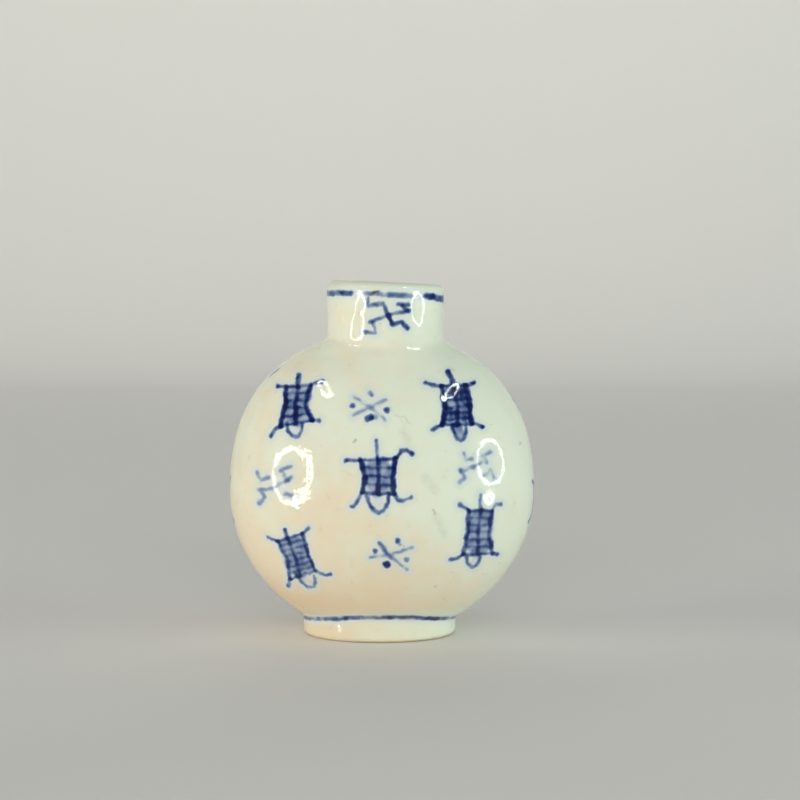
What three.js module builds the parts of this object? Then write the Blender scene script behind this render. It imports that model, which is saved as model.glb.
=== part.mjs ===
// A small flattened round snuff bottle of glazed porcelain, thrown hollow and pressed a little
// flat, with a short wide neck, an open mouth and a low oval foot ring. One fired piece.
// Millimetres, +Z up, broad painted face to -Y, origin on the table under the body's centre.
import * as THREE from 'three';

// ---- body: a fat lens, nearly a circle from the front, an oval in plan -------------------
const BODY_HALF_WIDTH = 26.1;
const BODY_DEPTH_RATIO = 0.67;      // depth of the body over its width
const EQUATOR_Z = 24.6;             // height of the widest ring
const SHOULDER_RISE = 26.9;         // equator up to the crown hidden inside the neck
const SHOULDER_POWER = 2.285;       // over 2: the shoulders are a little squarer than a circle
const BELLY_DROP = 25.05;           // equator down to the lowest point, hidden by the foot
const BELLY_POWER = 1.96;

// ---- neck: round, wide and short, set a touch to the right, its lip sloping --------------
const NECK_RADIUS = 9.9;
const NECK_X = 0.6;
const NECK_FILLET = 2.9;            // reach of the glaze-softened join with the shoulder
const LIP_FLARE = 0.012;            // the wall widens this share towards the lip
const LIP_Z = 60.1;                 // lip height on the neck's own axis
const LIP_SLOPE = Math.tan(THREE.MathUtils.degToRad(2.7));   // falls from left to right
const LIP_ROUND = 1.15;             // outer edge, softer on the left than on the right
const LIP_ROUND_UNEVEN = 0.25;
const MOUTH_RADIUS = 4.5;
const MOUTH_ROUND = 0.6;

// ---- foot: a low oval ring, set a touch to the left, hollowed underneath -----------------
const FOOT_HALF_WIDTH = 13.1;
const FOOT_HALF_DEPTH = 10.0;
const FOOT_X = -0.4;
const FOOT_FILLET = 0.8;
const FOOT_ROUND = 1.05;            // outer lower edge
const RING_FLAT = 1.7;              // width of the ground ring the bottle stands on
const RECESS_DEPTH = 1.2;
const RECESS_SLANT = 0.5;

// ---- hollow: walls about 3 mm, thicker over the foot and round the neck ------------------
const HOLLOW_HALF_WIDTH = 23.3;
const HOLLOW_DEPTH_RATIO = 0.631;
const HOLLOW_MIDDLE_Z = 26.3;
const HOLLOW_RISE = 22.4;
const HOLLOW_DROP = 21.5;
const HOLLOW_POWER = 2.15;
const THROAT_FILLET = 3.0;          // the bore opens into the hollow in a soft curve

const AROUND = 60;                  // steps round the bottle

// ---- outline pieces, each a radius from the axis at an angle and a height ----------------
const { cos, sin, abs, min, max, pow, sqrt, PI } = Math;
const mix = (a, b, t) => a + (b - a) * t;
const smooth = (a, b, v) => THREE.MathUtils.smoothstep(v, a, b);
const steps = (n) => Array.from({ length: n }, (_, i) => i / (n - 1));

// Union of two radii with a fillet of the given reach.
const filleted = (a, b, reach) => max(a, b) + pow(max(reach - abs(a - b), 0) / reach, 2) * reach / 4;

// Radius of an oval whose centre sits off the axis by cx.
function oval(angle, halfWidth, halfDepth, cx = 0) {
  const c = cos(angle), s = sin(angle);
  const A = pow(c / halfWidth, 2) + pow(s / halfDepth, 2);
  const B = cx * c / (halfWidth * halfWidth);
  return (B + sqrt(B * B - A * (pow(cx / halfWidth, 2) - 1))) / A;
}

// How far the side of a lens reaches, rise and drop being its heights above and below.
const lens = (z, middle, rise, drop, powerUp, powerDown) => {
  const up = z > middle, n = up ? powerUp : powerDown;
  const u = min(abs(z - middle) / (up ? rise : drop), 1);
  return pow(max(1 - pow(u, n), 0), 1 / n);
};

const bodyPlan = (angle) => oval(angle, 1, BODY_DEPTH_RATIO);
const bodyReach = (z) => BODY_HALF_WIDTH
  * lens(z, EQUATOR_Z, SHOULDER_RISE, BELLY_DROP, SHOULDER_POWER, BELLY_POWER);
const neckWall = (angle, z) => oval(angle, NECK_RADIUS, NECK_RADIUS, NECK_X)
  * (1 + LIP_FLARE * smooth(54, 59, z) + 0.01 * smooth(52, 48, z));
const footWall = (angle) => oval(angle, FOOT_HALF_WIDTH, FOOT_HALF_DEPTH, FOOT_X);
const bore = (angle) => oval(angle, MOUTH_RADIUS, MOUTH_RADIUS, NECK_X);

const outside = (angle, z) => {
  const body = bodyPlan(angle) * bodyReach(z);
  return z > EQUATOR_Z
    ? filleted(body, neckWall(angle, z), NECK_FILLET)
    : filleted(body, footWall(angle), FOOT_FILLET);
};
const inside = (angle, z) => {
  const reach = HOLLOW_HALF_WIDTH
    * lens(z, HOLLOW_MIDDLE_Z, HOLLOW_RISE, HOLLOW_DROP, HOLLOW_POWER, HOLLOW_POWER);
  const hollow = oval(angle, 1, HOLLOW_DEPTH_RATIO) * reach;
  return z > HOLLOW_MIDDLE_Z ? filleted(hollow, bore(angle), THROAT_FILLET) : hollow;
};

// Height at which the body's skin crosses the foot wall or the neck wall at an angle; the
// crossing is not level, because the body is flatter in plan than the foot and the neck.
const crossing = (reach, rise, power) =>
  rise * pow(1 - pow(reach / BODY_HALF_WIDTH, power), 1 / power);
const footJoin = (angle) =>
  EQUATOR_Z - crossing(footWall(angle) / bodyPlan(angle), BELLY_DROP, BELLY_POWER);
const neckJoin = (angle) =>
  EQUATOR_Z + crossing(neckWall(angle, 50) / bodyPlan(angle), SHOULDER_RISE, SHOULDER_POWER);

// ---- rings of the skin, from the middle of the underside up, over the lip and down inside
const rings = [];
const ring = (place) => rings.push(place);             // place(angle) gives [radius, height]
const atHeight = (height) => ring((a) => [outside(a, height(a)), height(a)]);

// The underside: recessed disc, slanting inner side of the foot, level ring, rounded edge.
const standing = (a) => footWall(a) - FOOT_ROUND;
const recessed = (a) => standing(a) - RING_FLAT - RECESS_SLANT;
[0, 0.5, 0.97].forEach((t) => ring((a) => [recessed(a) * t, RECESS_DEPTH]));
ring((a) => [recessed(a) + 0.1, RECESS_DEPTH - 0.15]);
ring((a) => [standing(a) - RING_FLAT, 0]);
steps(5).forEach((t) => ring((a) => [
  standing(a) + FOOT_ROUND * sin(t * PI / 2), FOOT_ROUND * (1 - cos(t * PI / 2))]));

// Foot wall, the join, the belly and shoulders, the join of the neck, the neck.
[-0.5, -0.25, 0, 0.25, 0.55].forEach((d) => atHeight((a) => footJoin(a) + d));
steps(27).slice(1, -1).forEach((t) => atHeight((a) => {
  const low = Math.asin((footJoin(a) + 0.55 - EQUATOR_Z) / BELLY_DROP);
  const high = Math.asin((neckJoin(a) - 1.5 - EQUATOR_Z) / SHOULDER_RISE);
  const turn = mix(low, high, t);
  return EQUATOR_Z + (turn > 0 ? SHOULDER_RISE : BELLY_DROP) * sin(turn);
}));
[-1.5, -0.95, -0.5, -0.15, 0.15, 0.45, 0.9].forEach((d) => atHeight((a) => neckJoin(a) + d));

// The lip: wall up to the rounding, rounded edge, level land, rounded mouth, bore.
const lipRound = (a) => LIP_ROUND - LIP_ROUND_UNEVEN * cos(a);
[0.4, 0.75].forEach((t) => atHeight((a) => mix(neckJoin(a) + 0.9, LIP_Z - lipRound(a), t)));
steps(6).forEach((t) => ring((a) => {
  const r = lipRound(a), z = LIP_Z - r;
  return [outside(a, z) - r * (1 - cos(t * PI / 2)), z + r * sin(t * PI / 2)];
}));
steps(4).forEach((t) => ring((a) => [
  bore(a) + MOUTH_ROUND * (1 - sin(t * PI / 2)), LIP_Z - MOUTH_ROUND * (1 - cos(t * PI / 2))]));

// Down the bore and round the hollow to the middle of its floor.
const HOLLOW_TOP = HOLLOW_MIDDLE_Z + HOLLOW_RISE;
[0.6, -0.3, -0.8, -1.4, -2.2, -3.2].forEach((d) => ring((a) => [
  inside(a, HOLLOW_TOP + d), HOLLOW_TOP + d]));
steps(16).slice(1).forEach((t) => ring((a) => {
  const start = Math.asin((HOLLOW_RISE - 3.2) / HOLLOW_RISE);
  const turn = mix(start, -PI / 2, t);
  const z = HOLLOW_MIDDLE_Z + (turn > 0 ? HOLLOW_RISE : HOLLOW_DROP) * sin(turn);
  return [t === 1 ? 0 : inside(a, z), z];
}));

// ---- the skin itself: a lathe grid whose rings are eased onto the outline above ----------
function skin() {
  const profile = rings.map((_, i) => new THREE.Vector2(i % (rings.length - 1) ? 1 : 0, i));
  const geometry = new THREE.LatheGeometry(profile, AROUND);
  const at = geometry.attributes.position;
  for (let i = 0; i < at.count; i += 1) {
    const step = Math.floor(i / rings.length) % AROUND;
    const angle = step / AROUND * 2 * PI;
    const [radius, height] = rings[i % rings.length](angle);
    const x = radius * cos(angle);
    const slope = LIP_SLOPE * (x - NECK_X) * smooth(52, 58, height);
    at.setXYZ(i, x, radius * sin(angle), height - slope);
  }
  geometry.computeVertexNormals();
  return geometry;
}

const porcelain = new THREE.MeshStandardMaterial({
  name: 'glazed_porcelain', color: 0xd9d8c4, roughness: 0.18, metalness: 0,
});

const bottle = new THREE.Mesh(skin(), porcelain);
bottle.name = 'bottle';

const snuffBottle = new THREE.Group();
snuffBottle.name = 'snuff_bottle';
snuffBottle.add(bottle);
export default snuffBottle;
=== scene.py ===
import math

import bmesh
import bpy
from mathutils import Matrix, Vector


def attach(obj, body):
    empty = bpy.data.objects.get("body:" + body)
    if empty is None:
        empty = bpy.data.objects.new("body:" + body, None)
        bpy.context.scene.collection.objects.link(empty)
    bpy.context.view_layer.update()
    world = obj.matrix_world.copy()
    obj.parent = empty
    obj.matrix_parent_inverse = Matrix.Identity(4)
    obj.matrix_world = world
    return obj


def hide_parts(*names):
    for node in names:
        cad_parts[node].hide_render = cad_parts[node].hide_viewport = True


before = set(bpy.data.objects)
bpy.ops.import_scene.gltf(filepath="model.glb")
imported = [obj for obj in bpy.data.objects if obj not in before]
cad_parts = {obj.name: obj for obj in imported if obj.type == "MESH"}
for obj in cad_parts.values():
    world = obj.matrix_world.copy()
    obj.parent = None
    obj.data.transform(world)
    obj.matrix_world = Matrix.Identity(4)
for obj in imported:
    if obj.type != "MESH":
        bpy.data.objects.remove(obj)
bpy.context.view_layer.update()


# ---- Table top and backdrop ---------------------------------------------------------------
# A pale matt sheet that lies flat under the bottle and curves up far behind it, so that the
# bottle stands on a plain ground with no horizon line. Its sizes are in metres.

MM = 0.001


def plain_material(name, color, roughness):
    material = bpy.data.materials.new(name)
    material.use_nodes = True
    shader = material.node_tree.nodes["Principled BSDF"]
    shader.inputs["Base Color"].default_value = (*color, 1)
    shader.inputs["Roughness"].default_value = roughness
    return material


SHEET_HALF = 1.6
SHEET_DROP = 0.02 * MM      # a hair under the foot, so that no two faces share a plane
SHEET_BACK = 0.9
SHEET_CURVE = 0.35
SHEET_WALL = 1.2
PAPER = (0.85, 0.84, 0.81)

sheet_mesh = bmesh.new()
front_edge = [sheet_mesh.verts.new((x, -SHEET_HALF, -SHEET_DROP)) for x in (-SHEET_HALF, SHEET_HALF)]
flat = bmesh.ops.extrude_edge_only(sheet_mesh, edges=[sheet_mesh.edges.new(front_edge)])
edge = [v for v in flat["geom"] if isinstance(v, bmesh.types.BMVert)]
bmesh.ops.translate(sheet_mesh, verts=edge, vec=(0, SHEET_HALF + SHEET_BACK, 0))
rim = [e for e in sheet_mesh.edges if all(v in edge for v in e.verts)]
bmesh.ops.spin(sheet_mesh, geom=rim + edge, cent=(0, SHEET_BACK, SHEET_CURVE), axis=(1, 0, 0),
               angle=math.radians(90), steps=24)
top = sorted(sheet_mesh.verts, key=lambda v: v.co.z)[-2:]
wall = bmesh.ops.extrude_edge_only(sheet_mesh, edges=[
    e for e in sheet_mesh.edges if all(v in top for v in e.verts)])
bmesh.ops.translate(sheet_mesh, vec=(0, 0, SHEET_WALL), verts=[
    v for v in wall["geom"] if isinstance(v, bmesh.types.BMVert)])
bmesh.ops.recalc_face_normals(sheet_mesh, faces=sheet_mesh.faces)
sheet_data = bpy.data.meshes.new("backdrop")
sheet_mesh.to_mesh(sheet_data)
sheet_mesh.free()
sheet_data.polygons.foreach_set("use_smooth", [True] * len(sheet_data.polygons))
backdrop = bpy.data.objects.new("backdrop", sheet_data)
bpy.context.scene.collection.objects.link(backdrop)
sheet_data.materials.append(plain_material("pale_paper", PAPER, 0.9))


# ---- Camera and studio light --------------------------------------------------------------
# A close portrait view from the front, a little above the shoulder of the bottle and looking
# slightly down. The light is broad and soft; six ring lamps at the left and right light
# nothing and show only as bright rings and spots in the glaze.

EYE = Vector((3.1, -273.6, 54.8)) * MM
LOOK_DOWN = math.radians(3.08)

camera_data = bpy.data.cameras.new("camera")
camera_data.lens = 72
camera_data.sensor_width = 36
camera_data.clip_start = 0.01
camera = bpy.data.objects.new("camera", camera_data)
camera.location = EYE
camera.rotation_euler = (math.radians(90) - LOOK_DOWN, 0, 0)
bpy.context.scene.collection.objects.link(camera)
bpy.context.scene.camera = camera
bpy.context.scene.view_settings.view_transform = "Standard"

world = bpy.data.worlds.new("room")
world.use_nodes = True
world.node_tree.nodes["Background"].inputs["Color"].default_value = (0.92, 0.95, 1.0, 1)
world.node_tree.nodes["Background"].inputs["Strength"].default_value = 0.21
bpy.context.scene.world = world


def softbox(name, place, aim, size, power, color):
    data = bpy.data.lights.new(name, "AREA")
    data.shape = "RECTANGLE"
    data.size, data.size_y = size
    data.energy = power
    data.color = color
    lamp = bpy.data.objects.new(name, data)
    lamp.location = place
    lamp.rotation_euler = (Vector(aim) - Vector(place)).to_track_quat("-Z", "Y").to_euler()
    lamp.visible_glossy = False
    bpy.context.scene.collection.objects.link(lamp)


lit_by_rings = bpy.data.collections.new("lit_by_rings")
RING_AIM = 0.6              # a ring faces the bottle's axis at this share of its own height


def ring_lamp(name, place, radius, band, height, lean, color, strength, uneven=0):
    """A glowing band in millimetres: height scales it upright, uneven thickens one side."""
    place = Vector(place) * MM
    ring = bmesh.new()
    inner = (radius - band / 2) * MM
    bmesh.ops.create_circle(ring, cap_ends=False, segments=64, radius=inner)
    grown = bmesh.ops.extrude_edge_only(ring, edges=ring.edges[:])
    rim = [v for v in grown["geom"] if isinstance(v, bmesh.types.BMVert)]
    wider = 1 + band * MM / inner
    bmesh.ops.scale(ring, vec=(wider, wider, 1), verts=rim)
    bmesh.ops.translate(ring, vec=(uneven * MM, 0, 0), verts=rim)
    bmesh.ops.scale(ring, vec=(1, height, 1), verts=ring.verts)
    bmesh.ops.rotate(ring, matrix=Matrix.Rotation(math.radians(lean), 3, "Z"), verts=ring.verts)
    aim = Vector((0, 0, place.z * RING_AIM))
    facing = (place - aim).to_track_quat("Z", "Y").to_matrix().to_4x4()
    bmesh.ops.transform(ring, matrix=Matrix.Translation(place) @ facing, verts=ring.verts)
    bmesh.ops.recalc_face_normals(ring, faces=ring.faces)
    mesh = bpy.data.meshes.new(name)
    ring.to_mesh(mesh)
    ring.free()
    glow = plain_material(name, (0, 0, 0), 1)
    shader = glow.node_tree.nodes["Principled BSDF"]
    shader.inputs["Emission Color"].default_value = (*color, 1)
    shader.inputs["Emission Strength"].default_value = strength
    mesh.materials.append(glow)
    lamp = bpy.data.objects.new(name, mesh)
    lamp.visible_camera = False
    lamp.visible_diffuse = False
    lamp.light_linking.receiver_collection = lit_by_rings
    bpy.context.scene.collection.objects.link(lamp)


WARM = (1, 0.95, 0.84)
COOL = (0.90, 1, 0.94)
softbox("top_soft", (0, -0.15, 0.9), (0, 0, 0.03), (1.0, 1.0), 0.3, (0.96, 1, 0.97))
softbox("front_soft", (0, -1.4, 0.42), (0, 0, 0.03), (2.0, 0.8), 10.6, (1, 1, 0.95))
softbox("low_soft", (-0.1, -1.0, 0.12), (0, 0, 0.02), (1.2, 0.2), 0.5, (1, 0.8, 0.58))
softbox("left_soft", (-1.2, -0.4, 0.16), (0, 0, 0.03), (0.8, 0.3), 9.8, WARM)
softbox("right_soft", (1.2, -0.4, 0.16), (0, 0, 0.03), (0.8, 0.3), 8.6, COOL)
softbox("back_soft", (0, 1.0, 0.8), (0, 0, 0.03), (1.2, 0.8), 1.6, (1, 0.99, 0.97))
ring_lamp("left_ring", (-119, -92, 32), 34.7, 8, 0.78, 0, WARM, 13, uneven=3.2)
ring_lamp("right_ring", (110, -45, 40.5), 25, 3.6, 0.75, 0, COOL, 16)
ring_lamp("right_glow", (101, -47, 13), 6, 6, 0.6, 0, COOL, 13)
ring_lamp("left_glow", (-112, -97, 5.5), 2.5, 4.8, 1.6, 0, WARM, 30)
ring_lamp("left_high", (-54, -47, 111), 16, 3, 0.22, -38, WARM, 40)
ring_lamp("right_high", (65, -40, 106), 19, 4, 0.2, 26, COOL, 50)


# ---- The bottle ---------------------------------------------------------------------------
# One piece of porcelain, thrown hollow, pressed a little flat, painted in cobalt and glazed,
# with a short open neck and an oval foot ring that it stands on. The rings of a spun grid are
# moved onto its outline, about three times as fine as the solid behind it. Sizes are in
# millimetres, with the front at -y.

BODY_HALF_WIDTH = 26.09
BODY_DEPTH_RATIO = 0.67
EQUATOR_Z = 24.6
SHOULDER_RISE = 26.9
SHOULDER_POWER = 2.285
BELLY_DROP = 25.05
BELLY_POWER = 1.96
NECK_RADIUS = 9.9
NECK_X = 0.6
NECK_FILLET = 2.9
NECK_SPREAD = 0.01          # share that the neck widens towards the shoulder
NECK_FLARE = 0.75           # further flare, at the right of the front and of the back only
LIP_Z = 60.1
LIP_FLARE = 0.012           # share that the narrow sides widen towards the lip
LIP_SLOPE = math.tan(math.radians(2.7))
LIP_ROUND = 1.15
LIP_ROUND_UNEVEN = 0.25     # the lip's edge is softer on the left than on the right
MOUTH_RADIUS = 4.5
MOUTH_ROUND = 0.6
FOOT_HALF_WIDTH = 13.1
FOOT_HALF_DEPTH = 10.0
FOOT_X = -0.4
FOOT_FILLET = 0.8
FOOT_ROUND = 1.05
RING_FLAT = 1.7
RECESS_DEPTH = 1.2
RECESS_SLANT = 0.5
HOLLOW_HALF_WIDTH = 23.3
HOLLOW_DEPTH_RATIO = 0.631
HOLLOW_MIDDLE_Z = 26.3
HOLLOW_RISE = 22.4
HOLLOW_DROP = 21.5
HOLLOW_POWER = 2.15
THROAT_FILLET = 3.0
THROAT_DROP = 3.2           # height of the soft curve from the bore into the hollow
CHIP_X = -1.0
CHIP_Z = 58.3
CHIP_HALF_WIDTH = 1.3
CHIP_HALF_HEIGHT = 0.7
CHIP_DEPTH = 0.22
AROUND = 192


def smooth(low, high, value):
    t = min(max((value - low) / (high - low), 0), 1)
    return t * t * (3 - 2 * t)


def filleted(a, b, reach):
    return max(a, b) + max(reach - abs(a - b), 0) ** 2 / reach / 4


def oval(angle, half_width, half_depth, centre=0.0):
    c, s = math.cos(angle), math.sin(angle)
    a = (c / half_width) ** 2 + (s / half_depth) ** 2
    b = centre * c / half_width ** 2
    return (b + math.sqrt(b * b - a * ((centre / half_width) ** 2 - 1))) / a


def lens(z, middle, rise, drop, power_up, power_down):
    power = power_up if z > middle else power_down
    u = min(abs(z - middle) / (rise if z > middle else drop), 1)
    return max(1 - u ** power, 0) ** (1 / power)


def neck_wall(angle, z):
    front = math.sin(angle) ** 2
    swell = 1 + LIP_FLARE * (1 - front) * smooth(54, 59, z) + NECK_SPREAD * (1 - smooth(48, 52, z))
    flare = NECK_FLARE * front * smooth(-0.2, 0.4, math.cos(angle)) * (1 - smooth(48.3, 54.5, z))
    return oval(angle, NECK_RADIUS, NECK_RADIUS, NECK_X) * swell + flare


def foot_wall(angle):
    return oval(angle, FOOT_HALF_WIDTH, FOOT_HALF_DEPTH, FOOT_X)


def outside(angle, z):
    reach = BODY_HALF_WIDTH * lens(z, EQUATOR_Z, SHOULDER_RISE, BELLY_DROP,
                                   SHOULDER_POWER, BELLY_POWER)
    body = oval(angle, 1, BODY_DEPTH_RATIO) * reach
    if z > EQUATOR_Z:
        return filleted(body, neck_wall(angle, z), NECK_FILLET)
    return filleted(body, foot_wall(angle), FOOT_FILLET)


def inside(angle, z):
    reach = HOLLOW_HALF_WIDTH * lens(z, HOLLOW_MIDDLE_Z, HOLLOW_RISE, HOLLOW_DROP,
                                     HOLLOW_POWER, HOLLOW_POWER)
    hollow = oval(angle, 1, HOLLOW_DEPTH_RATIO) * reach
    if z > HOLLOW_MIDDLE_Z:
        return filleted(hollow, oval(angle, MOUTH_RADIUS, MOUTH_RADIUS, NECK_X), THROAT_FILLET)
    return hollow


def crossing(reach, rise, power):
    return rise * (1 - (reach / BODY_HALF_WIDTH) ** power) ** (1 / power)


def foot_join(angle):
    reach = foot_wall(angle) / oval(angle, 1, BODY_DEPTH_RATIO)
    return EQUATOR_Z - crossing(reach, BELLY_DROP, BELLY_POWER)


def neck_join(angle):
    reach = neck_wall(angle, 50) / oval(angle, 1, BODY_DEPTH_RATIO)
    return EQUATOR_Z + crossing(reach, SHOULDER_RISE, SHOULDER_POWER)


def steps(low, high, count):
    return [low + (high - low) * i / (count - 1) for i in range(count)]


# Each ring is a function from an angle to a radius and a height. They run from the middle of
# the underside up the outside, over the lip and down the inside to the middle of the floor.
rings = []
QUARTER = math.pi / 2       # of a turn
CREASE_BELOW = 0.5          # extra rings run from this far below the crease above the foot
CREASE_ABOVE = 0.6
SHOULDER_BELOW = 1.6        # and from this far below the neck's join with the shoulder
SHOULDER_ABOVE = 1.0


def standing(angle):
    return foot_wall(angle) - FOOT_ROUND


def at_height(height):
    rings.append(lambda a: (outside(a, height(a)), height(a)))


for share in steps(0, 0.97, 14):
    rings.append(lambda a, share=share: (
        (standing(a) - RING_FLAT - RECESS_SLANT) * share, RECESS_DEPTH))
for t in steps(0, 1, 4):
    rings.append(lambda a, t=t: (
        standing(a) - RING_FLAT - RECESS_SLANT * (1 - math.sin(t * QUARTER)),
        0.9 * RECESS_DEPTH * (1 - t)))
for t in steps(0.2, 0.8, 3):
    rings.append(lambda a, t=t: (standing(a) - RING_FLAT * (1 - t), 0))
for t in steps(0, 1, 9):
    rings.append(lambda a, t=t: (
        foot_wall(a) - FOOT_ROUND * (1 - math.sin(t * QUARTER)),
        FOOT_ROUND * (1 - math.cos(t * QUARTER))))
for t in steps(0.25, 1, 4):
    at_height(lambda a, t=t: FOOT_ROUND * (1 - t) + (foot_join(a) - CREASE_BELOW) * t)
for rise in steps(0.1 - CREASE_BELOW, CREASE_ABOVE, 11):
    at_height(lambda a, rise=rise: foot_join(a) + rise)
for t in steps(0, 1, 80)[1:-1]:
    def belly_height(a, t=t):
        low = math.asin((foot_join(a) + CREASE_ABOVE - EQUATOR_Z) / BELLY_DROP)
        high = math.asin((neck_join(a) - SHOULDER_BELOW - EQUATOR_Z) / SHOULDER_RISE)
        turn = low + (high - low) * t
        return EQUATOR_Z + (SHOULDER_RISE if turn > 0 else BELLY_DROP) * math.sin(turn)
    at_height(belly_height)
for rise in steps(-SHOULDER_BELOW, SHOULDER_ABOVE, 14):
    at_height(lambda a, rise=rise: neck_join(a) + rise)


def lip_round(angle):
    return LIP_ROUND - LIP_ROUND_UNEVEN * math.cos(angle)


for t in steps(0, 1, 22)[1:-1]:
    at_height(lambda a, t=t: (
        (neck_join(a) + SHOULDER_ABOVE) * (1 - t) + (LIP_Z - lip_round(a)) * t))
for t in steps(0, 1, 12):
    rings.append(lambda a, t=t: (
        outside(a, LIP_Z - lip_round(a)) - lip_round(a) * (1 - math.cos(t * QUARTER)),
        LIP_Z - lip_round(a) * (1 - math.sin(t * QUARTER))))
for t in steps(0, 1, 8):
    rings.append(lambda a, t=t: (
        oval(a, MOUTH_RADIUS, MOUTH_RADIUS, NECK_X) + MOUTH_ROUND * (1 - math.sin(t * QUARTER)),
        LIP_Z - MOUTH_ROUND * (1 - math.cos(t * QUARTER))))
MOUTH_RING = len(rings) - 1
HOLLOW_TOP = HOLLOW_MIDDLE_Z + HOLLOW_RISE
for drop in steps(-0.8, THROAT_DROP, 14):
    rings.append(lambda a, drop=drop: (inside(a, HOLLOW_TOP - drop), HOLLOW_TOP - drop))
for t in steps(0, 1, 40)[1:]:
    def hollow_ring(a, t=t):
        start = math.asin((HOLLOW_RISE - THROAT_DROP) / HOLLOW_RISE)
        turn = start + (-QUARTER - start) * t
        z = HOLLOW_MIDDLE_Z + (HOLLOW_RISE if turn > 0 else HOLLOW_DROP) * math.sin(turn)
        return (0 if t == 1 else inside(a, z)), z
    rings.append(hollow_ring)

# a line of points, one for each ring at the height of its number, is spun into a grid with
# closed ends, and then each point is moved to its place on its ring
grid = bmesh.new()
last = len(rings) - 1
profile = [grid.verts.new((0 if i in (0, last) else 1, 0, i)) for i in range(len(rings))]
edges = [grid.edges.new(pair) for pair in zip(profile, profile[1:])]
bmesh.ops.spin(grid, geom=profile + edges, cent=(0, 0, 0), axis=(0, 0, 1),
               angle=math.tau, steps=AROUND, use_merge=True)
bmesh.ops.remove_doubles(grid, verts=grid.verts, dist=1e-5)
for face in grid.faces:
    past_mouth = min(v.co.z for v in face.verts) > MOUTH_RING - 0.5
    face.material_index = int(past_mouth)
for v in grid.verts:
    angle = math.atan2(v.co.y, v.co.x)
    radius, height = rings[round(v.co.z)](angle)
    across = radius * math.cos(angle)
    if math.sin(angle) < 0 and v.co.z < MOUTH_RING:
        from_chip = math.hypot((across - CHIP_X) / CHIP_HALF_WIDTH,
                               (height - CHIP_Z) / CHIP_HALF_HEIGHT)
        radius -= CHIP_DEPTH * (1 - smooth(0.3, 1, from_chip))
    x = radius * math.cos(angle)
    slope = LIP_SLOPE * (x - NECK_X) * smooth(52, 58, height)
    v.co = Vector((x, radius * math.sin(angle), height - slope)) * MM
bmesh.ops.recalc_face_normals(grid, faces=grid.faces)
bottle_data = bpy.data.meshes.new("snuff_bottle")
grid.to_mesh(bottle_data)
grid.free()
bottle_data.polygons.foreach_set("use_smooth", [True] * len(bottle_data.polygons))
bottle = bpy.data.objects.new("snuff_bottle", bottle_data)
bpy.context.scene.collection.objects.link(bottle)


# The painting is cobalt under a clear, slightly green glaze. Five lattice figures stand on the
# face among small crossed sprigs and frets, with a line under the lip and one above the foot.

class Wire:
    """A number, vector or colour in a material's nodes; operators on it add Math nodes."""

    def __init__(self, tree, socket=None):
        self.tree = tree
        self.socket = socket

    def node(self, kind, settings, inputs, output=0):
        node = self.tree.nodes.new("ShaderNode" + kind)
        stops = settings.pop("stops", ())
        for name, setting in settings.items():
            setattr(node, name, setting)
        for count, (position, color) in enumerate(stops):
            ramp = node.color_ramp.elements
            stop = ramp[count] if count < 2 else ramp.new(position)
            stop.position = position
            stop.color = color
        for name, value in inputs.items():
            if isinstance(value, Wire):
                self.tree.links.new(value.socket, node.inputs[name])
            else:
                node.inputs[name].default_value = value
        return Wire(self.tree, node.outputs[output])

    def feed(self, shader, name):
        self.tree.links.new(self.socket, shader.inputs[name])

    def maths(self, operation, second=0):
        return self.node("Math", {"operation": operation}, {0: self, 1: second})

    def maths_on(self, first, operation):
        return self.node("Math", {"operation": operation}, {0: first, 1: self})

    def vector(self, operation, second, output="Vector"):
        return self.node("VectorMath", {"operation": operation}, {0: self, 1: second}, output)

    def __add__(self, other):
        return self.maths("ADD", other)

    def __radd__(self, other):
        return self.maths_on(other, "ADD")

    def __sub__(self, other):
        return self.maths("SUBTRACT", other)

    def __rsub__(self, other):
        return self.maths_on(other, "SUBTRACT")

    def __mul__(self, other):
        return self.maths("MULTIPLY", other)

    def __rmul__(self, other):
        return self.maths_on(other, "MULTIPLY")

    def __truediv__(self, other):
        return self.maths("DIVIDE", other)

    def __rtruediv__(self, other):
        return self.maths_on(other, "DIVIDE")

    def __abs__(self):
        return self.maths("ABSOLUTE")

    def least(self, other):
        return self.maths("MINIMUM", other)

    def fade(self, start, stop, low=0, high=1):
        return self.node("MapRange", {"interpolation_type": "SMOOTHSTEP"}, {
            "Value": self, "From Min": start, "From Max": stop, "To Min": low, "To Max": high})

    def noise(self, grain, detail=2, seed=0):
        shifted = self.vector("ADD", (seed, seed * 2.7, seed * 1.3))
        return shifted.node("TexNoise", {}, {
            "Vector": shifted, "Scale": 1 / grain, "Detail": detail}, "Fac")

    def blend(self, under, over):
        return self.node("Mix", {"data_type": "RGBA"}, {"Factor": self, 6: under, 7: over}, 2)


def shade(red, green, blue):
    return (*(((c / 255 + 0.055) / 1.055) ** 2.4 for c in (red, green, blue)), 1)


def between(a, b, share):
    return (a[0] + (b[0] - a[0]) * share, a[1] + (b[1] - a[1]) * share)


# A brush stroke is its points in millimetres across and up the face, its width and its ink.
WASH_WIDTH = 4.4
WASH_INK = 0.3
WASH_INSET = 1.9            # the wash stops this far inside the head and the base
RUNG_WIDTH = 0.35
TAIL_WIDTH = 0.5            # of the horns and of the loop below
BLOB_WIDTH = 0.6            # where the brush is lifted at the end of a horn


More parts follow.
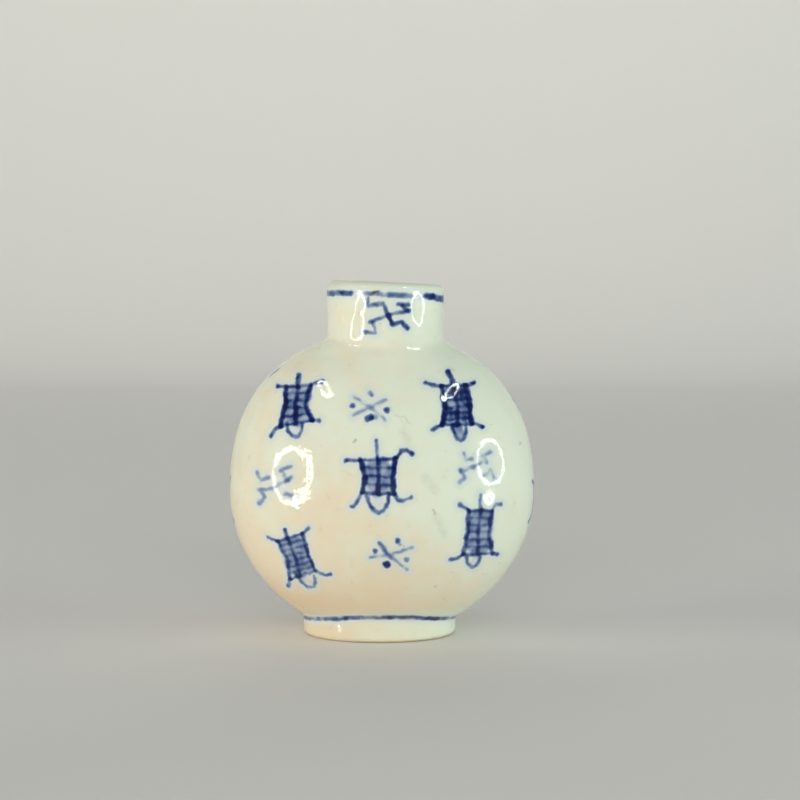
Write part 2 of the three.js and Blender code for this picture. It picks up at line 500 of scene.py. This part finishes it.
def lattice_figure(head, waist, base, rows, stem, horns, loop, ink, line=0.7, middle=0.5, fill=0.06):
    """Two bowed uprights, a middle line and rungs, with a stem, four horns and a loop below.

    head, waist and base are pairs of points; stem is a tip, a width and an ink; a horn is its
    points from its corner; loop is its left, right, drop and lean from the base's middle.
    """
    centre = [between(*pair, middle) for pair in (head, waist, base)]
    top, foot = between(*head, 0.5), between(*base, 0.5)
    inset = WASH_INSET / (top[1] - foot[1])
    wash = [between(top, foot, share) for share in (inset, 1 - inset)]
    strokes = [([head[side], waist[side], base[side]], line, ink) for side in (0, 1)]
    strokes.append((centre, line * 0.85, ink * 0.85))
    strokes.append(([stem[:2], centre[0]], *stem[2:]))
    strokes.append((wash, WASH_WIDTH, WASH_INK))
    for row in range(rows + 2):
        share = row / (rows + 1)
        upper, lower, part = (head, waist, share * 2) if share < 0.5 else (waist, base, share * 2 - 1)
        ends = [between(upper[side], lower[side], part) for side in (0, 1)]
        strokes.append((ends, RUNG_WIDTH, ink * (0.7 if row in (0, rows + 1) else 0.45)))
    for corner, horn in zip((*head, *base), horns):
        points = [corner] + [(corner[0] + x, corner[1] + z) for x, z in horn]
        strokes.append((points, TAIL_WIDTH, ink * 0.6))
        strokes.append((points[-1:], BLOB_WIDTH, ink * 0.3))
    left, right, drop, lean = loop
    bow = [(foot[0] + left, foot[1])]
    for turn in (30, 65, 90, 115, 150):
        across = (left + right) / 2 - (right - left) / 2 * math.cos(math.radians(turn))
        bow.append((foot[0] + across + lean * math.sin(math.radians(turn)),
                    foot[1] - drop * math.sin(math.radians(turn))))
    strokes.append((bow + [(foot[0] + right, foot[1])], TAIL_WIDTH, ink * 0.6))
    hollow = [between(foot, bow[3], share) for share in (0.2, 0.7)]
    strokes.append((hollow, (right - left) * 0.6, fill))
    return strokes


def brush(lines, width, ink):
    return [(line, width, ink) for line in lines]


# the middle figure, then those at the top left, top right, low left and low right
strokes = lattice_figure(
    head=[(-3.3, 31.3), (2.4, 31.5)], waist=[(-2.5, 28.8), (1.9, 28.6)],
    base=[(-2.9, 26.1), (2.1, 25.9)], rows=3, stem=(-0.7, 34.4, 0.4, 0.6),
    horns=[[(-2.4, -0.1)], [(0.9, 1.2), (1.7, 1.5), (2.7, 0.8)],
           [(-1.1, -1.8), (-1.8, -2.3)], [(0.7, -0.9), (1.5, -1.1), (2.7, -0.6)]],
    loop=(-1.9, 1.7, 3.2, 0.2), ink=1.05)
strokes += lattice_figure(
    head=[(-15.8, 42.7), (-11.5, 43.1)], waist=[(-15.7, 40.1), (-12.4, 40.1)],
    base=[(-16.5, 36.5), (-11.2, 37.5)], rows=4, stem=(-13.7, 44.8, 0.65, 0.75),
    horns=[[(-1.4, 0.1)], [(1.0, 0.5), (1.8, 0.7)],
           [(-0.9, -0.7), (-1.7, -1.8)], [(1.2, 0.0)]],
    loop=(-1.6, 1.1, 2.2, 0.1), ink=1.05)
strokes += lattice_figure(
    head=[(9.9, 43.0), (14.0, 43.0)], waist=[(10.5, 39.5), (14.5, 39.8)],
    base=[(10.0, 36.8), (14.8, 36.9)], rows=5, stem=(11.0, 45.2, 0.75, 0.85),
    horns=[[(-1.4, 0.2), (-2.7, 0.5)], [(1.3, 0.4)],
           [(-1.6, -0.7)], [(1.0, -0.2), (1.8, -0.6)]],
    loop=(-0.9, 1.5, 2.6, 0.3), ink=1.2, fill=0.25)
strokes += lattice_figure(
    head=[(-17.0, 17.5), (-12.8, 19.1)], waist=[(-15.5, 14.6), (-11.9, 15.6)],
    base=[(-15.1, 10.9), (-10.8, 12.8)], rows=6, stem=(-15.7, 19.5, 0.5, 0.75),
    horns=[[(-1.7, 0.5)], [(1.1, 1.0)], [(-0.3, -1.3)], [(1.7, -0.7), (2.5, -0.5)]],
    loop=(-1.1, 1.9, 2.2, 1.0), ink=0.7, line=0.5, middle=0.4)
strokes += lattice_figure(
    head=[(14.3, 22.8), (18.2, 22.5)], waist=[(14.1, 19.3), (17.7, 19.0)],
    base=[(13.4, 15.5), (18.4, 15.2)], rows=5, stem=(16.2, 25.3, 0.45, 0.35),
    horns=[[(-1.5, 1.1)], [(0.6, 1.0), (1.5, 1.0)], [(-1.0, -0.6), (-2.1, -0.8)], [(0.9, -0.3)]],
    loop=(-2.0, 0.4, 2.3, 0.1), ink=0.75, line=0.6)
# the top right one is filled in darker
strokes += brush([[(13.3, 42.2), (13.6, 37.8)], [(11.2, 42.4), (12.0, 42.2)]], 1.0, 0.4)
strokes += brush([[(11.3, 39.2), (11.2, 37.5)]], 0.8, 0.3)
# crossed sprigs above and below the middle figure
strokes += brush([
    [(-4.4, 41.3), (-1.9, 39.8), (0.7, 37.7)],
    [(-4.5, 38.5), (-1.9, 39.6), (0.7, 40.9)]], 0.55, 0.22)
strokes += brush([[(-4.55, 40.0)], [(1.0, 39.3)]], 0.75, 0.6)
strokes += brush([[(-1.9, 42.2), (-1.4, 41.6)]], 0.45, 0.35)
strokes += brush([[(-2.2, 37.9), (-1.6, 38.1)]], 0.75, 1.1)
strokes += brush([[(-1.6, 38.1), (-0.9, 38.0)]], 0.7, 0.3)
strokes += brush([
    [(-0.2, 17.9), (1.0, 16.1), (4.2, 13.2)],
    [(-1.7, 15.5), (1.3, 15.8), (5.0, 17.0)]], 0.5, 0.24)
strokes += brush([
    [(-0.1, 17.8), (1.1, 16.0), (1.8, 15.4)],
    [(2.7, 18.2), (3.1, 17.6)], [(-1.7, 15.4)]], 0.55, 0.24)
strokes += brush([[(-0.9, 16.5)], [(2.7, 18.2)], [(4.2, 15.0)]], 0.8, 0.5)
strokes += brush([[(0.9, 14.2), (1.1, 14.3)]], 0.95, 1.1)
# pale frets to the left and right of the middle figure
strokes += brush([
    [(-20.5, 28.7), (-19.9, 27.4), (-18.4, 28.1)], [(-16.5, 29.3), (-14.7, 30.0)],
    [(-20.2, 25.9), (-17.8, 26.3), (-14.6, 28.2)], [(-19.9, 25.8), (-19.2, 24.8), (-20.1, 23.6)],
    [(-15.8, 28.6), (-15.2, 27.7)],
    [(-15.7, 25.5), (-14.2, 25.2), (-13.9, 24.1)]], 0.6, 0.27)
strokes += brush([
    [(13.5, 32.2), (13.9, 31.1), (14.9, 31.2)], [(14.9, 29.8), (13.0, 29.4)],
    [(13.0, 29.4), (13.6, 28.2), (12.8, 27.5)], [(18.0, 32.2), (16.6, 31.7), (17.3, 30.5)],
    [(14.9, 29.8), (16.4, 30.6)], [(16.8, 28.4), (18.0, 29.2), (18.6, 27.8)]], 0.6, 0.23)
# fret on the neck
strokes += brush([
    [(-2.2, 57.2), (-2.1, 56.2), (0.4, 56.5), (1.1, 54.6), (1.9, 53.1)],
    [(4.5, 55.3), (1.1, 54.6), (-1.9, 53.4)], [(-1.3, 53.3), (-0.9, 51.7), (-2.7, 51.7)],
    [(4.5, 55.3), (3.5, 56.1)], [(2.7, 56.4), (4.4, 56.4)]], 0.55, 0.5)
strokes += brush([[(1.1, 54.6), (1.9, 53.1), (3.3, 53.5), (4.3, 52.4)]], 0.6, 0.6)
# darker touches along the lines at the lip and the foot
strokes += brush([
    [(-9.3, 58.3), (-5.2, 58.2)],
    [(7.6, 57.8), (10.6, 57.1)],
    [(7.6, 57.9), (10.6, 57.3)]], 0.85, 0.45)
strokes += brush([[(1.2, 58.0), (4.8, 57.8)]], 0.7, 0.3)
strokes += brush([[(-9.3, 3.6), (-5.8, 4.0)], [(0.4, 4.6), (5.3, 4.45)]], 0.4, 0.5)
strokes += brush([[(5.8, 4.2), (8.0, 3.9), (9.4, 3.7)]], 0.5, 0.8)
# A plainer figure, two sprigs and a short dab on each narrow side. Their strip lies 100 mm
# beyond the face in the plane of the strokes, so that face and sides share one list.
SIDE = 100
strokes += lattice_figure(
    head=[(SIDE - 1.9, 26.0), (SIDE + 1.9, 26.2)], waist=[(SIDE - 1.5, 23.4), (SIDE + 1.6, 23.4)],
    base=[(SIDE - 2.2, 20.2), (SIDE + 2.3, 20.0)], rows=4, stem=(SIDE, 28.4, 0.5, 0.6),
    horns=[[(-1.3, 0.6)], [(1.2, 0.8)], [(-1.2, -0.5)], [(1.2, -0.3)]],
    loop=(-1.2, 1.2, 2.2, 0), ink=0.8)
ARM_X, ARM_Z = 1.3, 1.4
DOTS = ((-1.4, 0), (1.4, 0), (0, 1.9), (0, -1.9))
for height in (40.0, 9.5):
    arms = [[(SIDE + ARM_X * x, height - ARM_Z), (SIDE - ARM_X * x, height + ARM_Z)] for x in (-1, 1)]
    strokes += brush(arms, 0.6, 0.35)
    strokes += brush([[(SIDE + x, height + z)] for x, z in DOTS], 0.75, 0.55)
strokes += brush([[(SIDE + 3.7, 45.2), (SIDE + 3.3, 44.7)]], 0.7, 0.6)


def gap_to(place, points):
    """Distance from a place to a stroke's nearest point."""
    if len(points) == 1:
        return place.vector("DISTANCE", (*points[0], 0), "Value")
    gap = None
    for start, end in zip(points, points[1:]):
        run = (end[0] - start[0], end[1] - start[1], 0)
        square = run[0] ** 2 + run[1] ** 2
        away = place.vector("SUBTRACT", (*start, 0))
        share = away.vector("DOT_PRODUCT", tuple(c / square for c in run), "Value")
        share = share.node("Clamp", {}, {"Value": share})
        foot = share.node("VectorMath", {"operation": "SCALE"}, {0: run, "Scale": share})
        reach = away.vector("DISTANCE", foot, "Value")
        gap = reach if gap is None else gap.least(reach)
    return gap


PALE_GLAZE_AND_COOL_LIGHT = shade(218, 226, 209)
CREAM_GLAZE_AND_WARM_LIGHT = shade(223, 209, 183)
TAN_PAINTED_SHADE = shade(214, 184, 146)
LIP_TOP_GREY = shade(196, 203, 188)
INK_HALO = shade(200, 212, 214)
COBALT = [
    (0.0, shade(196, 206, 209)), (0.14, shade(146, 160, 182)), (0.3, shade(86, 107, 149)),
    (0.5, shade(20, 45, 100)), (0.75, shade(0, 14, 74)), (1.0, shade(0, 2, 40))]
GRIME_AND_CREASE_SHADE = shade(84, 68, 46)
BARE_CLAY = shade(206, 190, 160)
THIN_GLAZE = shade(196, 184, 158)
SNUFF_STAIN = shade(142, 112, 78)
GLOSS = 0.07
BARE_ROUGHNESS = 0.75
SIDE_FROM = 14              # a narrow side starts this far out from the middle
SIDE_HALF_DEPTH = 6.2
SIDE_SET = 0.3              # its painting is set this far off its middle
WAVER = 0.55                # how far the brush strays from its line
OUT_OF_REACH = 9
LIP_LINE_Z = 58.0
FOOT_LINE_Z = 4.5
FOOT_LINE_BOW = 0.0086      # the crease above the foot drops towards the narrow sides
FOOT_WALL_TOP = 4.2
NECK_LEAN_X = -5.3
NECK_LEAN_REACH = 4
NECK_FLAT_X = 7.2
NECK_FLAT_REACH = 3
RELIEF_STEP = 0.012         # height of the glaze's relief for each unit of the sums below


def in_millimetres(tree):
    place = Wire(tree).node("TexCoord", {}, {}, "Object")
    return place.node("VectorMath", {"operation": "SCALE"}, {0: place, "Scale": 1 / MM})


glaze = plain_material("painted_glaze", (0.75, 0.72, 0.55), GLOSS)
spot = in_millimetres(glaze.node_tree)
x, y, z = [spot.node("SeparateXYZ", {}, {0: spot}, axis) for axis in "XYZ"]

# both broad faces are painted alike, and the narrow sides have the strip of their own
facing = y.maths("SIGN")
outward = x.maths("SIGN")
across = x * facing * -1
up = z + (x - across) * LIP_SLOPE * z.fade(50, 54)
face = x.node("CombineXYZ", {}, {"X": across, "Y": up})
side = x.node("CombineXYZ", {}, {"X": y * outward + (SIDE + SIDE_SET), "Y": z})
on_side = abs(x).maths("GREATER_THAN", SIDE_FROM) * abs(y).maths("LESS_THAN", SIDE_HALF_DEPTH)
place = on_side.node("Mix", {"data_type": "VECTOR"}, {0: on_side, 4: face, 5: side}, 1)
waver = spot.node("TexNoise", {}, {"Vector": spot, "Scale": 0.9, "Detail": 1.0}, "Color")
waver = waver.vector("SUBTRACT", (0.5, 0.5, 0.5)).vector("MULTIPLY", (WAVER, WAVER, 0))
place = place.vector("ADD", waver)

ink = 0
near = OUT_OF_REACH
for points, width, strength in strokes:
    gap = gap_to(place, points)
    # a wide wash has the softest edge, and thin ink bleeds more than strong ink
    soft = 0.7 if width > 2 else 0.3 if strength > 0.3 else 0.4
    ink = ink + gap.fade(width / 2 + soft, width / 2 - soft, 0, strength)
    near = gap.least(near)

# thin broken lines run right round under the lip and in the crease above the foot
lip_line = abs(z + x * LIP_SLOPE - LIP_LINE_Z)
lip_patch = spot.noise(2.5, seed=3).fade(0.42, 0.62, 0.06, 0.3)
ink = ink + lip_line.fade(0.7, 0.05) * lip_patch
foot_line = abs(x * x * FOOT_LINE_BOW + z - FOOT_LINE_Z)
foot_patch = spot.noise(2.6, seed=7).fade(0.4, 0.62, 0.13, 0.45)
ink = ink + foot_line.fade(0.6, 0.1) * foot_patch
near = near.least(lip_line).least(foot_line)

# the ink pools in places, and the more there is the less each further stroke darkens it
ink = ink * spot.noise(1.7, 1, seed=5).fade(0.3, 0.7, 0.6, 1.5)
ink = 1.15 * ink / (ink * 0.45 + 1)
ink_color = ink.node("ValToRGB", {"stops": COBALT}, {0: ink / 1.5})

# old blemishes on the front: a chip under the lip, hairlines, smudges and specks
blemishes = [
    ([(-1.7, 58.05), (-1.0, 58.35), (-0.3, 58.45)], 0.2, 1.1),
    ([(8.4, 23.2), (8.8, 22.4)], 0.1, 0.45),
    ([(8.9, 22.0), (10.3, 19.0)], 0.9, 0.1),
    ([(2.3, 38.4), (3.8, 38.2), (4.9, 37.0)], 0.1, 0.2),
    ([(7.2, 28.4), (8.8, 26.2)], 1.1, 0.1),
    ([(3.6, 35.9), (4.4, 34.6)], 0.9, 0.12),
    ([(-4.1, 34.5), (-4.3, 34.2)], 0.15, 0.6),
    ([(9.0, 10.1)], 0.2, 0.4),
    ([(23.2, 33.2)], 0.3, 0.45)]
front = face.vector("ADD", waver)
on_front = facing.fade(0.5, -0.5)
dirt_and_crease_shade = 0
for points, width, strength in blemishes:
    gap = gap_to(front, points)
    soft = 0.25 + width / 2
    dirt_and_crease_shade = dirt_and_crease_shade + gap.fade(width / 2 + soft, width / 2 - soft * 0.6, 0, strength)
dirt_and_crease_shade = dirt_and_crease_shade * on_front * spot.noise(0.6, 2, seed=17).fade(0.3, 0.7, 0.5, 1.2)

# pinholes, grime with painted shade in the crease along the foot's line, and faint scuffs all over
pinholes = spot.node("TexVoronoi", {}, {"Vector": spot, "Scale": 0.22}, "Distance")
dirt_and_crease_shade = dirt_and_crease_shade + pinholes.fade(0.035, 0.015, 0, 0.55)
# painted shade, with grime, darkens the crease along the foot's line
dirt_and_crease_shade = dirt_and_crease_shade + foot_line.fade(0.6, 0.05) * spot.noise(3.0, 2, seed=37).fade(0.4, 0.6, 0.2, 0.6)
dirt_and_crease_shade = dirt_and_crease_shade + spot.noise(1.7, 4, seed=47).fade(0.61, 0.76, 0, 0.1)

# the glaze is pale and cream in random clouds; over it is painted light, cool high up and on the
# right and warm lower down, and painted warm shade low on the left
cream_and_light_cast = spot.noise(14, 3, seed=1) * 0.7 + spot.noise(3.5, 2, seed=29) * 0.3
# painted light: warmer lower down, as of light thrown up from below, and cooler towards the right
cream_and_light_cast = cream_and_light_cast + z.fade(36, 10, 0, 0.3) * z.fade(4, 6.5, 0.1, 1) - x.fade(-4, 20, 0, 0.25)
body_color = cream_and_light_cast.fade(0.34, 0.86).blend(PALE_GLAZE_AND_COOL_LIGHT, CREAM_GLAZE_AND_WARM_LIGHT)
# painted shade with a warm cast, low down and strongest on the left, fading upwards
tan = x.fade(6, -13, 0.06, 0.5) + z.fade(5, 4) * x.fade(0, -9, -0.12, 0.1)
tan = z.fade(14, 6) * tan
body_color = tan.blend(body_color, TAN_PAINTED_SHADE)
# the top of the lip is greyer, more so at the left
lip = z.fade(58.7, 59.7) * x.fade(-5, -9, 0.6, 0.85)
body_color = lip.blend(body_color, LIP_TOP_GREY)
halo = near.fade(1.6, 0.1, 0, 0.85)
body_color = halo.blend(body_color, INK_HALO)
color = ink.fade(0.0, 0.22).blend(body_color, ink_color)
color = dirt_and_crease_shade.blend(color, GRIME_AND_CREASE_SHADE)

# the foot ring is wiped clean of glaze where the bottle stood in the kiln
bare = (z + spot.noise(1.4, 3, seed=19) * 0.35).fade(0.62, 0.42)
color = bare.blend(color, BARE_CLAY)
shader = glaze.node_tree.nodes["Principled BSDF"]
color.feed(shader, "Base Color")
bare.fade(0, 1, GLOSS, BARE_ROUGHNESS).feed(shader, "Roughness")

# the glaze lies in waves and ripples, with dimples in patches, more of them at the left
swell = spot.noise(8, 1, seed=23) * z.fade(48, 51, 5, 12)
ripple = spot.noise(3.2, 1, seed=11) * 1.6
dimples = spot.noise(1.1, 1, seed=13) * spot.noise(4, 1, seed=31).fade(0.38, 0.58, 0.2, 1)
pits = spot.noise(0.5, 1, seed=41) * 0.3
relief = swell + ripple + dimples * x.fade(-5, -10, 2, 3.2) + pits - dirt_and_crease_shade * 0.6

# the foot's wall flares a little at the left, and the neck's wall is uneven: it leans at
# the left and is flattened at the right, below the lip
relief = relief - (z.least(FOOT_WALL_TOP) - FOOT_WALL_TOP) * x.fade(-2, -5, 0, 8.8)
left = x - NECK_LEAN_X
lean = left / (left * left / NECK_LEAN_REACH ** 2 + 1) * z.fade(49.5, 58, -11, 9)
relief = relief + lean * z.fade(47.5, 49.5)
right = x - NECK_FLAT_X
flat = right * right / (right * right / NECK_FLAT_REACH ** 2 + 1) * z.fade(53, 57, 0, 2.6)
relief = relief + flat
bump = relief.node("Bump", {}, {
    "Height": relief, "Strength": 1, "Distance": RELIEF_STEP * MM}, "Normal")
bump.feed(shader, "Normal")

# the inside has a thin wash of glaze, stained brown by old snuff
inner = plain_material("inner_wall", (0.5, 0.4, 0.3), 0.5)
stain = in_millimetres(inner.node_tree).noise(5, 4, seed=2).fade(0.35, 0.65)
inner_color = stain.blend(THIN_GLAZE, SNUFF_STAIN)
inner_color.feed(inner.node_tree.nodes["Principled BSDF"], "Base Color")

bottle_data.materials.append(glaze)
bottle_data.materials.append(inner)
lit_by_rings.objects.link(bottle)
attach(bottle, "root")
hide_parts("bottle")
